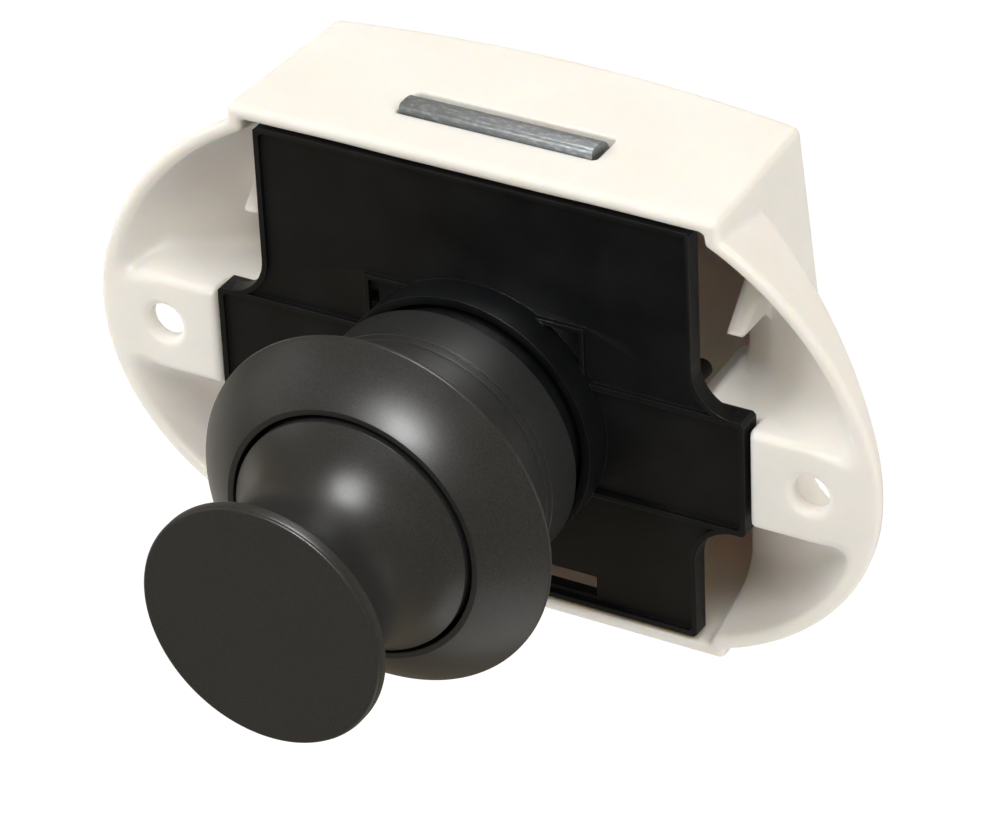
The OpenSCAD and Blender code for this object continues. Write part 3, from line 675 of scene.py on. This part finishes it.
def anthracite_satin(colours, grain):
    """Satin anthracite: a fine sparkling grain over a dark grey ground."""
    material, tree, shader = blank_material("anthracite_satin", roughness=0.34)
    texture = add_group(tree, grain, Grain=5200.0, Cloud=140.0)
    sparkle = remap(tree, texture.outputs["Height"], 0.55, 0.95, *FULL)
    ground, glint = shade(colours.anthracite, 0.75), shade(colours.anthracite, 1.45)
    tree.links.new(tinted(tree, sparkle, ground, glint), shader.inputs["Base Color"])
    tree.links.new(remap(tree, texture.outputs["Tone"], *TONES, 0.31, 0.38), shader.inputs["Roughness"])
    bump(tree, texture.outputs["Height"], 0.12, 0.03 * MM, shader)
    return material


def cast_zinc(colours, grain, scratches):
    """Cast zinc: dull grey with brighter rubbed streaks and a pitted skin."""
    material, tree, shader = blank_material("cast_zinc", roughness=0.42, metallic=1.0)
    skin = add_group(tree, grain, Grain=2600.0, Cloud=1800.0)
    rubbed = add_group(tree, scratches, Scale=2600.0, Stretch=0.45)
    dull, bright = shade(colours.zinc, 0.85), shade(colours.zinc, 1.5)
    tree.links.new(tinted(tree, rubbed.outputs["Mask"], dull, bright), shader.inputs["Base Color"])
    tree.links.new(remap(tree, skin.outputs["Tone"], *TONES, 0.48, 0.62), shader.inputs["Roughness"])
    height = maths(tree, "ADD", skin.outputs["Height"], rubbed.outputs["Height"])
    bump(tree, height, 0.14, 0.05 * MM, shader)
    return material


def drawn_steel(colours, scratches, name, roughness):
    """Drawn or plated steel with fine lines."""
    material, tree, shader = blank_material(name, roughness, metallic=1.0)
    lines = add_group(tree, scratches, Scale=2600.0, Stretch=0.15)
    dull, bright = shade(colours.steel, 0.85), shade(colours.steel, 1.25)
    tree.links.new(tinted(tree, lines.outputs["Mask"], dull, bright), shader.inputs["Base Color"])
    bump(tree, lines.outputs["Height"], 0.1, 0.03 * MM, shader)
    return material


class Finishes:
    """The lock's materials, all made once, when a piece first asks for one."""

    made = {}

    @classmethod
    def get(cls, name):
        """The material of a finish, after all of them are made at the first call."""
        colours = bpy.context.scene.lock_colours
        if not cls.made:
            grain, scratches = grain_group(), scratch_group()
            cls.made = {
                "ivory": ivory_plastic(colours, grain),
                "plate": black_plastic(
                    colours.black, grain, "black_plate", roughness=0.42, depth=0.12, specular=0.25),
                # The plate's bevels get a lighter black: a painted highlight along its edges
                "plate_edge": black_plastic(
                    colours.edge, grain, "black_plate_edge", roughness=0.36, depth=0.1, specular=0.8),
                "plunger": black_plastic(
                    colours.black, grain, "black_plunger", roughness=0.4, depth=0.08, specular=0.45),
                "anthracite": anthracite_satin(colours, grain),
                "zinc": cast_zinc(colours, grain, scratches),
                "screw": drawn_steel(colours, scratches, "plated_steel", roughness=0.3),
                "wire": drawn_steel(colours, scratches, "spring_steel", roughness=0.28),
            }
        return cls.made[name]


# Pieces


def ear_outline(x, y, z, sizes):
    """Distance from an ear's leaning wall: three circles that meet smoothly, each smaller with depth."""
    tip_x = reach("housing", 0, True) - sizes.tip_r

    def circle(radius, angle):
        """Distance from a circle that touches the tip's circle at an angle."""
        away = sizes.tip_r - radius
        aside, above = away * math.cos(angle), away * math.sin(angle)
        return np.hypot(x - tip_x - aside, z - sizes.ear_z - above) - radius

    turn = np.arctan2(z - sizes.ear_z, x - tip_x)
    beside = np.maximum(circle(sizes.upper_r, UPPER_FROM), circle(sizes.lower_r, LOWER_FROM))
    flat = np.where((turn > LOWER_FROM) & (turn < UPPER_FROM), circle(sizes.tip_r, 0), beside)
    return (flat + sizes.draft * y) / math.hypot(1, sizes.draft)


def case_walls(x, y, z, sizes):
    """Distances from the case's side, from its top or bottom and from its bulged back.

    The back is a circle about a point before the door. It widens by the back's lean from the top and the
    bottom towards the deep band.
    """
    low, high = reach("housing", 2, False), reach("housing", 2, True)
    bulge = sizes.mid_depth - sizes.corner_depth
    back_r = (sizes.half_w ** 2 + bulge ** 2) / (2 * bulge)
    side = (x + sizes.side_lean * y - sizes.half_w) / math.hypot(1, sizes.side_lean)
    height = np.abs(z - (low + high) / 2) - (high - low) / 2
    deepest = (high - low) / 2 - sizes.deep_half
    swell = sizes.back_lean * np.minimum(-height, deepest)
    back = np.hypot(x, y - sizes.mid_depth + back_r) - back_r - swell
    return side, height, back / math.hypot(1, sizes.back_lean)


def screw_block(x, y, z, slope, sizes):
    """The pad round a screw hole, which narrows on a circle, and the block that carries the plate's band."""
    past = np.clip(x - sizes.pad_bend, 0, sizes.pad_reach * PAD_SHARE)
    half = sizes.pad_half - sizes.pad_reach + np.sqrt(sizes.pad_reach ** 2 - past ** 2)
    aside = np.abs(z - sizes.screw_z / 2)
    pad = round_and((aside - half) * PAD_STEEPNESS, sizes.pad_x - x, BLOCK_EDGE_R)
    carrier = round_and(aside - sizes.pad_half, sizes.block_x - x, BLOCK_EDGE_R)
    carrier = round_and(carrier, sizes.block_front - y, BLOCK_FRONT_R)
    return np.minimum(pad, np.maximum(np.maximum(carrier, slope), x - sizes.pad_x - OVERLAP))


def ear_lug(x, y, z, sizes):
    """The lug in an ear's root: level below, a top that falls outwards and a ramp at 45 degrees in front."""
    lug = np.maximum(np.abs(x - sizes.half_w) - sizes.lug_half, sizes.lug_z - z)
    top = z - sizes.lug_z - sizes.lug_h + (x - sizes.half_w) * sizes.lug_lean
    top = top / math.hypot(1, sizes.lug_lean)
    ramp = (sizes.lug_front - y + z - sizes.lug_z) * math.sqrt(0.5)
    return round_and(np.maximum(lug, top), ramp, LUG_R)


def spring_seat(x, y, z, sizes):
    """The spring's round seat with its peg, and the follower's boss with its bore, on the back wall."""
    around = np.hypot(x, z)
    seat = np.maximum(around - sizes.seat_r, sizes.seat_y - y)
    peg = np.maximum(around - sizes.peg_r, sizes.seat_y - sizes.peg - y)
    boss = np.maximum(x - sizes.boss_half, sizes.boss_front - y)
    boss = np.maximum(boss, np.abs(z - sizes.boss_z) - sizes.boss_h)
    boss = np.maximum(boss, sizes.pivot_r - np.hypot(x, y - sizes.pivot_y))
    return np.minimum(np.minimum(seat, peg), boss)


def housing_field(x, y, z, sizes):
    """Field of the ivory case: the outer form less its hollow, with blocks, lugs, slot and screw holes."""
    x = np.abs(x)
    side, height, back = case_walls(x, y, z, sizes)
    outline = ear_outline(x, y, z, sizes)
    run, fall = reach("housing", 0, True) - sizes.half_w, sizes.root_depth - sizes.tip_depth
    slope = ((x - sizes.half_w) * fall + (y - sizes.root_depth) * run) / math.hypot(run, fall)
    case = round_and(round_and(side, height, sizes.edge_r), back, sizes.back_r)
    ear = np.maximum(round_and(outline, slope, EAR_BACK_R), sizes.half_w - sizes.wall / 2 - x)
    body = round_or(case, ear, JOIN_R)
    wall = sizes.wall
    case_hollow = round_and(side + wall, height + wall, HOLLOW_SIDE_R)
    case_hollow = round_and(case_hollow, back + wall, HOLLOW_BACK_R)
    ear_hollow = round_and(outline + wall, slope + wall, sizes.floor_r)
    ear_hollow = np.maximum(ear_hollow, sizes.half_w - wall - OVERLAP - x)
    walls = -round_or(case_hollow, ear_hollow, JOIN_R)
    inner = round_or(walls, screw_block(x, y, z, slope, sizes), sizes.block_r)
    inner = round_or(inner, np.maximum(ear_lug(x, y, z, sizes), slope), LUG_FOOT_R)
    inner = np.minimum(inner, spring_seat(x, y, z, sizes))
    rim_r = np.interp(-outline, (wall, 3 * wall), (sizes.rim_r, sizes.pad_r))
    solid = round_and(np.maximum(body, inner), -y, rim_r)
    slot_y = (sizes.slot_front + sizes.slot_back) / 2
    slot = np.maximum(x - sizes.slot_half, np.abs(y - slot_y) - (sizes.slot_back - sizes.slot_front) / 2)
    solid = round_and(solid, -np.maximum(slot, SLOT_FROM - z), SLOT_R)
    hole = np.hypot(x - sizes.screw_x, z - sizes.screw_z)
    recess = np.maximum(np.abs(z - sizes.screw_z) - sizes.head_r, sizes.screw_x - x)
    recess = np.maximum(np.minimum(hole - sizes.head_r, recess), sizes.seat - y)
    solid = round_and(solid, -recess, RECESS_R)
    return round_and(solid, sizes.screw_r - hole, sizes.mouth)


class LOCK_OT_housing(bpy.types.Operator):
    """Mould the ivory case with its two ears"""

    bl_idname = "lock.housing"
    bl_label = "Ivory case"

    def execute(self, context):
        sizes = context.scene.lock_housing
        low, high = (np.array(corner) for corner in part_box("housing"))
        margin = 1.5 * sizes.step
        points, faces, normals = level_surface(
            lambda x, y, z: housing_field(x, y, z, sizes), low - margin, high + margin, sizes.step)
        mesh = quad_mesh("ivory_case", np.clip(points, low, high), faces)
        mesh.normals_split_custom_set_from_vertices(normals.tolist())
        place("ivory_case", mesh, Finishes.get("ivory"), "lock", "housing")
        return {"FINISHED"}


class LOCK_OT_front_plate(bpy.types.Operator):
    """Make the black front plate with its ribs and collar"""

    bl_idname = "lock.front_plate"
    bl_label = "Front plate"

    def execute(self, context):
        width = context.scene.lock_mould.plate_edge
        piece = moulded("black_plate", "front_plate", "plate", "lock", width)
        # The bevel faces take the lighter edge black, a painted highlight along the plate's edges
        piece.data.materials.append(Finishes.get("plate_edge"))
        piece.modifiers["edges"].material = len(piece.data.materials) - 1
        return {"FINISHED"}


def rosette_profile(sizes):
    """Radius and depth round the rosette's section: flat lip, arched front, edge, ringed sleeve and bore.

    The arch is a circle through the lip's outer corner and the front of the edge.
    """
    radius, end = reach("rosette", 0, True), reach("rosette", 1, True)
    edge_y, lip_x, lip_y = sizes.back - sizes.edge, sizes.bore_r + sizes.lip, sizes.back - sizes.flange
    across, up = radius - lip_x, edge_y - lip_y
    chord = math.hypot(across, up)
    out = math.sqrt(sizes.arch_r ** 2 - chord ** 2 / 4) / chord
    arch_x, arch_y = lip_x + across / 2 - out * up, edge_y - up / 2 + out * across
    first, last = math.atan2(lip_y - arch_y, lip_x - arch_x), math.atan2(edge_y - arch_y, radius - arch_x)
    front = arc((arch_x, arch_y), sizes.arch_r, first, last, ARCH_STEPS)
    sunk, rings = sizes.sleeve_r - sizes.ring_depth, []
    for ring in (sizes.back + sizes.first_ring, sizes.back + sizes.second_ring):
        width = sizes.ring_width
        rings += [(sizes.sleeve_r, ring), (sunk, ring + width * RING_FLANK)]
        rings += [(sunk, ring + width * (1 - RING_FLANK)), (sizes.sleeve_r, ring + width)]
    flange_back = [(radius, sizes.back), (sizes.sleeve_r, sizes.back)]
    sleeve_end = [(sizes.sleeve_r, end), (sizes.bore_r, end)]
    corners = np.vstack(([(sizes.bore_r, lip_y)], front, flange_back, rings, sleeve_end))
    fine = sizes.soft / 2
    radii = [fine, fine] + [0] * (len(front) - 2) + [sizes.soft, fine, fine]
    radii += [sizes.ring_depth / 4] * len(rings) + [fine, fine]
    return spaced(round_corners(corners, radii, True), PROFILE_GAP, True)


class LOCK_OT_rosette(bpy.types.Operator):
    """Turn the rosette with its sleeve"""

    bl_idname = "lock.rosette"
    bl_label = "Rosette"

    def execute(self, context):
        points, faces = turned_surface(rosette_profile(context.scene.lock_rosette), True)
        place("rosette_ring", grid_mesh("rosette_ring", points, faces), Finishes.get("anthracite"),
              "lock", "rosette")
        return {"FINISHED"}


def knob_profile(sizes):
    """Radius and depth along the knob: face, edge, hollow neck, base, back and the two bores."""
    face, back = reach("knob", 1, False), reach("knob", 1, True)
    radius = reach("knob", 0, True)
    neck_front, neck_back = face + sizes.edge, back - sizes.base
    span, sag = neck_back - neck_front, radius - sizes.neck_r
    bend = (span ** 2 / 4 + sag ** 2) / (2 * sag)
    half = math.asin(span / 2 / bend)
    middle = (neck_front + neck_back) / 2
    neck = arc((sizes.neck_r + bend, middle), bend, math.pi + half, math.pi - half, NECK_STEPS)
    widest = np.where(neck[:, 1] > middle, sizes.base_r, radius)
    neck = neck[neck[:, 0] <= widest + MERGE]
    bores = [
        (sizes.spigot_r, back), (sizes.spigot_r, back - sizes.spigot_depth),
        (sizes.screw_r, back - sizes.spigot_depth), (sizes.screw_r, back - sizes.screw_depth),
        (0, back - sizes.screw_depth),
    ]
    corners = np.vstack(([(0, face), (radius, face)], neck, [(sizes.base_r, back)], bores))
    fine = sizes.soft / 4
    radii = [0, sizes.soft, sizes.soft] + [0] * (len(neck) - 2) + [sizes.base_soft, fine, fine]
    radii += [0] * (len(bores) - 1)
    return spaced(round_corners(corners, radii, False), PROFILE_GAP, False)


class LOCK_OT_knob(bpy.types.Operator):
    """Turn the push knob"""

    bl_idname = "lock.knob"
    bl_label = "Push knob"

    def execute(self, context):
        points, faces = turned_surface(knob_profile(context.scene.lock_knob), False)
        place("push_knob", grid_mesh("push_knob", points, faces), Finishes.get("anthracite"),
              "button", "knob")
        return {"FINISHED"}


class LOCK_OT_bolt(bpy.types.Operator):
    """Make the cast bolt"""

    bl_idname = "lock.bolt"
    bl_label = "Bolt"

    def execute(self, context):
        width = context.scene.lock_mould.bolt_edge
        moulded("cast_bolt", "bolt", "zinc", "bolt_body", width)
        return {"FINISHED"}


class LOCK_OT_plunger(bpy.types.Operator):
    """Make the plunger behind the knob"""

    bl_idname = "lock.plunger"
    bl_label = "Plunger"

    def execute(self, context):
        width = context.scene.lock_mould.plunger_edge
        moulded("black_plunger", "plunger", "plunger", "button", width)
        return {"FINISHED"}


class LOCK_OT_screw(bpy.types.Operator):
    """Give the knob's screw its finish"""

    bl_idname = "lock.screw"
    bl_label = "Knob screw"

    def execute(self, context):
        refinish("knob_screw", "screw")
        return {"FINISHED"}


class LOCK_OT_wires(bpy.types.Operator):
    """Wind the return spring and give the follower its finish"""

    bl_idname = "lock.wires"
    bl_label = "Spring and follower"

    def execute(self, context):
        sizes = context.scene.lock_wire
        front, back = reach("return_spring", 1, False), reach("return_spring", 1, True)
        radius = reach("return_spring", 0, True) - sizes.spring_wire
        share = np.linspace(0, 1, int(sizes.spring_turns * TURN_POINTS))
        turn = 2 * np.pi * sizes.spring_turns * share
        depth = front + sizes.spring_wire + share * (back - front - 2 * sizes.spring_wire)
        path = np.column_stack((radius * np.cos(turn), depth, radius * np.sin(turn)))
        along = np.array((0.0, 1.0, 0.0))
        points, faces = tube_surface(path, sizes.spring_wire * WIRE_SHARE, along, WIRE_SIDES)
        spring = place("coil_spring", grid_mesh("coil_spring", points, faces), Finishes.get("wire"),
                       "lock", "return_spring")
        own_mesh(spring)
        refinish("cam_follower", "wire")
        return {"FINISHED"}


# Studio


def camera_pose(setup):
    """Matrix of a camera that sees the origin at its pixel, turned by azimuth, elevation and roll."""
    a, e, r = setup.azimuth, setup.elevation, setup.roll
    back = Vector((math.sin(a) * math.cos(e), -math.cos(a) * math.cos(e), math.sin(e)))
    right = Vector((math.cos(a), math.sin(a), 0))
    up = back.cross(right)
    right, up = right * math.cos(r) + up * math.sin(r), up * math.cos(r) - right * math.sin(r)
    per_pixel = setup.distance / setup.focal
    aside = (setup.origin_px[0] - PICTURE_WIDTH / 2) * per_pixel
    above = (PICTURE_HEIGHT / 2 - setup.origin_px[1]) * per_pixel
    eye = back * setup.distance - right * aside - up * above
    return Matrix.Translation(eye) @ Matrix((right, up, back)).transposed().to_4x4()


def area_light(name, azimuth, elevation, size, power, distance, gleams):
    """A square soft light that looks at the lock from an azimuth and an elevation.

    It either only gleams on the surfaces or only lights them.
    """
    lamp = bpy.data.lights.new(name, "AREA")
    lamp.size = size
    lamp.energy = power
    light = bpy.data.objects.new(name, lamp)
    bpy.context.scene.collection.objects.link(light)
    a, e = math.radians(azimuth), math.radians(elevation)
    away = Vector((math.sin(a) * math.cos(e), -math.cos(a) * math.cos(e), math.sin(e)))
    light.visible_camera = False
    light.visible_glossy = gleams
    light.visible_diffuse = not gleams
    turn = away.to_track_quat("Z", "Y").to_matrix().to_4x4()
    light.matrix_world = Matrix.Translation(away * distance) @ turn


class LOCK_OT_stage(bpy.types.Operator):
    """Set up the pale floor, the soft light and the camera"""

    bl_idname = "lock.stage"
    bl_label = "Studio"

    def execute(self, context):
        scene = context.scene
        setup = scene.lock_stage
        line = np.linspace(-FLOOR_HALF, FLOOR_HALF, FLOOR_POINTS)
        level = CAD_BOX[0].z - setup.floor_drop
        points = np.stack(np.broadcast_arrays(line[:, None], line[None, :], level), axis=-1)
        faces = grid_faces(FLOOR_POINTS, FLOOR_POINTS, False, False)[:, ::-1]
        mesh = bpy.data.meshes.new("floor")
        mesh.from_pydata(points.reshape(-1, 3).tolist(), [], faces.tolist())
        material, _, shader = blank_material("pale_floor", roughness=0.8, specular=0.2)
        shader.inputs["Base Color"].default_value = (*scene.lock_colours.floor, 1)
        shader.inputs["Emission Color"].default_value = (1, 1, 1, 1)
        shader.inputs["Emission Strength"].default_value = setup.floor_glow
        mesh.materials.append(material)
        floor = bpy.data.objects.new("floor", mesh)
        floor.visible_glossy = False
        floor.visible_shadow = False
        scene.collection.objects.link(floor)

        world = bpy.data.worlds.new("studio")
        scene.world = world
        world.use_nodes = True
        tree = world.node_tree
        background = tree.nodes["Background"]
        seen = tree.nodes.new("ShaderNodeLightPath").outputs["Is Camera Ray"]
        bounce = shade(scene.lock_colours.bounce, setup.ambient)
        tree.links.new(tinted(tree, seen, bounce, (1, 1, 1)), background.inputs["Color"])
        for lights, distance, gleams in ((FILLS, FILL_DISTANCE, False), (SHEENS, SHEEN_DISTANCE, True)):
            for name, *aim in lights:
                area_light(f"{name}_light", *aim, getattr(setup, name), distance, gleams)

        camera_data = bpy.data.cameras.new("camera")
        camera_data.sensor_width = SENSOR
        camera_data.lens = setup.focal * SENSOR / PICTURE_WIDTH
        camera_data.clip_start = 0.01
        camera = bpy.data.objects.new("camera", camera_data)
        camera.matrix_world = camera_pose(setup)
        scene.collection.objects.link(camera)
        scene.camera = camera
        scene.view_settings.view_transform = "Standard"
        return {"FINISHED"}


GROUPS = (
    ("lock_housing", HousingSizes), ("lock_rosette", RosetteSizes), ("lock_knob", KnobSizes),
    ("lock_mould", MouldSizes), ("lock_wire", WireSizes), ("lock_colours", LockColours),
    ("lock_stage", StageSetup),
)
OPERATORS = (
    LOCK_OT_housing, LOCK_OT_front_plate, LOCK_OT_rosette, LOCK_OT_knob, LOCK_OT_bolt, LOCK_OT_plunger,
    LOCK_OT_screw, LOCK_OT_wires, LOCK_OT_stage,
)


class LOCK_PT_panel(bpy.types.Panel):
    """Lists the lock's pieces and sizes"""

    bl_idname = "LOCK_PT_panel"
    bl_label = "Push-Button Lock"
    bl_space_type = "VIEW_3D"
    bl_region_type = "UI"
    bl_category = "Lock"

    def draw(self, context):
        for operator in OPERATORS:
            self.layout.operator(operator.bl_idname)
        for name, kind in GROUPS:
            box = self.layout.box()
            for label in kind.__annotations__:
                box.prop(getattr(context.scene, name), label)


def register():
    """Add the lock's sizes, operators and panel to Blender."""
    for name, kind in GROUPS:
        bpy.utils.register_class(kind)
        setattr(bpy.types.Scene, name, bpy.props.PointerProperty(type=kind))
    for kind in (*OPERATORS, LOCK_PT_panel):
        bpy.utils.register_class(kind)


def unregister():
    """Take them out again."""
    for kind in (LOCK_PT_panel, *reversed(OPERATORS)):
        bpy.utils.unregister_class(kind)
    for name, kind in reversed(GROUPS):
        delattr(bpy.types.Scene, name)
        bpy.utils.unregister_class(kind)


def main():
    """Make every piece and the studio."""
    register()
    bpy.ops.lock.housing()
    bpy.ops.lock.front_plate()
    bpy.ops.lock.rosette()
    bpy.ops.lock.knob()
    bpy.ops.lock.bolt()
    bpy.ops.lock.plunger()
    bpy.ops.lock.screw()
    bpy.ops.lock.wires()
    bpy.ops.lock.stage()


if __name__ == "__main__":
    main()
